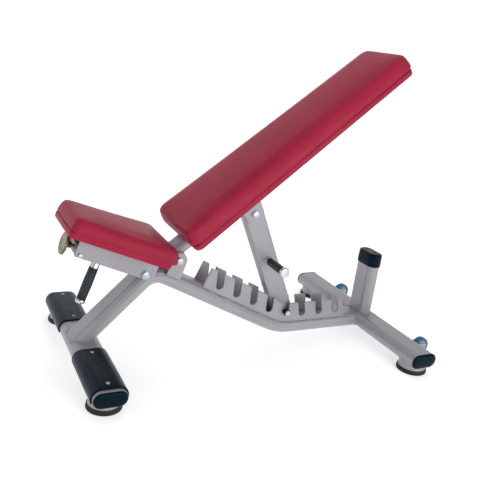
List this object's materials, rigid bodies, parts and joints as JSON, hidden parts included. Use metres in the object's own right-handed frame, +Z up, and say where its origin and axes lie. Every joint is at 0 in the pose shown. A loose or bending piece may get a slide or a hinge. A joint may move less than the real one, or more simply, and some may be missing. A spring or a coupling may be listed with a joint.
{
  "type": "adjustable weight bench",
  "caption": "Bench with a reclining padded back held by a prop in a toothed ladder, a tilting padded seat, a flat-oval steel frame on two base tubes, and transport wheels.",
  "frame": {"origin": "on the floor, under the middle of the bench's bounding box", "axes": "+X from the seat end to the head end, +Y to the far side, +Z up"},
  "size_m": [1.2874, 0.76, 1.0435],
  "materials": {
    "frame_paint": "silver-grey powder coat, satin, fine orange peel",
    "vinyl": "crimson upholstery vinyl, fine leather grain, soft sheen",
    "black_plastic": "moulded black plastic with a low gloss",
    "black_rubber": "black rubber, matte",
    "chrome": "bright chrome plate",
    "zinc": "bright zinc-plated steel",
    "yellow_zinc": "yellow passivated zinc plate, dull gold",
    "plywood": "plywood board with black cambric underside",
    "wheel_blue": "blue moulded wheel rim",
    "wheel_hub": "pale moulded wheel hub"
  },
  "bodies": {
    "frame": {"cover_screw_far_inner": "zinc", "cover_screw_far_outer": "zinc", "cover_screw_near_inner": "zinc", "cover_screw_near_outer": "zinc", "foot_cover_far": "black_plastic", "foot_cover_near": "black_plastic", "front_base_tube": "frame_paint", "front_end_cap_far": "black_plastic", "front_end_cap_near": "black_plastic", "front_foot_neck_far": "frame_paint", "front_foot_neck_near": "frame_paint", "front_foot_pad_far": "black_rubber", "front_foot_pad_near": "black_rubber", "hinge_bolt": "zinc", "hinge_bracket_far": "frame_paint", "hinge_bracket_near": "frame_paint", "ladder_plate_far": "frame_paint", "ladder_plate_near": "frame_paint", "lock_sector": "frame_paint", "main_frame_tube": "frame_paint", "rear_base_tube": "frame_paint", "rear_end_cap_far": "black_plastic", "rear_end_cap_near": "black_plastic", "rear_foot_neck_far": "frame_paint", "rear_foot_neck_near": "frame_paint", "rear_foot_pad_far": "black_rubber", "rear_foot_pad_near": "black_rubber", "seat_bolt": "zinc", "stub_cap": "black_plastic", "stub_post": "frame_paint", "wheel_axle_far": "zinc", "wheel_axle_near": "zinc", "wheel_bracket_far": "frame_paint", "wheel_bracket_near": "frame_paint"},
    "back": {"back_board": "plywood", "back_pad": "vinyl", "back_spine": "frame_paint", "hinge_hub": "frame_paint", "prop_ear_near": "frame_paint", "prop_ear_far": "frame_paint", "prop_bolt": "zinc"},
    "prop": {"prop_tube": "frame_paint", "lock_bar": "chrome", "bar_bush_near": "black_plastic", "bar_bush_far": "black_plastic", "peg_core": "chrome", "peg_grip": "black_rubber"},
    "seat": {"seat_rail": "frame_paint", "seat_board": "plywood", "seat_pad": "vinyl", "latch_guide": "frame_paint", "guide_bolt": "zinc", "grip_core": "chrome", "grip_sleeve": "black_rubber"},
    "latch": {"latch_rod": "yellow_zinc", "latch_spring": "zinc"},
    "wheel_near": {"wheel_hub_near": "wheel_hub", "wheel_tyre_near": "wheel_blue"},
    "wheel_far": {"wheel_hub_far": "wheel_hub", "wheel_tyre_far": "wheel_blue"}
  },
  "joints": [
    {"name": "back_recline", "type": "hinge", "parent": "frame", "child": "back", "pos_m": [-0.28029, 0, 0.337], "axis": [0, -1, 0], "range_deg": [0, 32]},
    {"name": "prop_swing", "type": "hinge", "parent": "back", "child": "prop", "pos_m": [-0.0173, 0, 0.47799], "axis": [0, 1, 0], "range_deg": [0, 21.42]},
    {"name": "seat_tilt", "type": "hinge", "parent": "frame", "child": "seat", "pos_m": [-0.38928, 0, 0.295], "axis": [0, 1, 0], "range_deg": [-12, 0]},
    {"name": "seat_latch_pull", "type": "slide", "parent": "seat", "child": "latch", "axis": [-0.9483, 0, 0.3173], "range_m": [0, 0.012], "stiffness_N_per_m": 400},
    {"name": "wheel_near_spin", "type": "hinge", "parent": "frame", "child": "wheel_near", "pos_m": [0.61171, -0.252, 0.043], "axis": [0, 1, 0], "continuous": true},
    {"name": "wheel_far_spin", "type": "hinge", "parent": "frame", "child": "wheel_far", "pos_m": [0.61171, 0.252, 0.043], "axis": [0, 1, 0], "continuous": true}
  ],
  "couplings": [
    {"joint": "prop_swing", "follows": "back_recline", "ratio": 0.66}
  ]
}
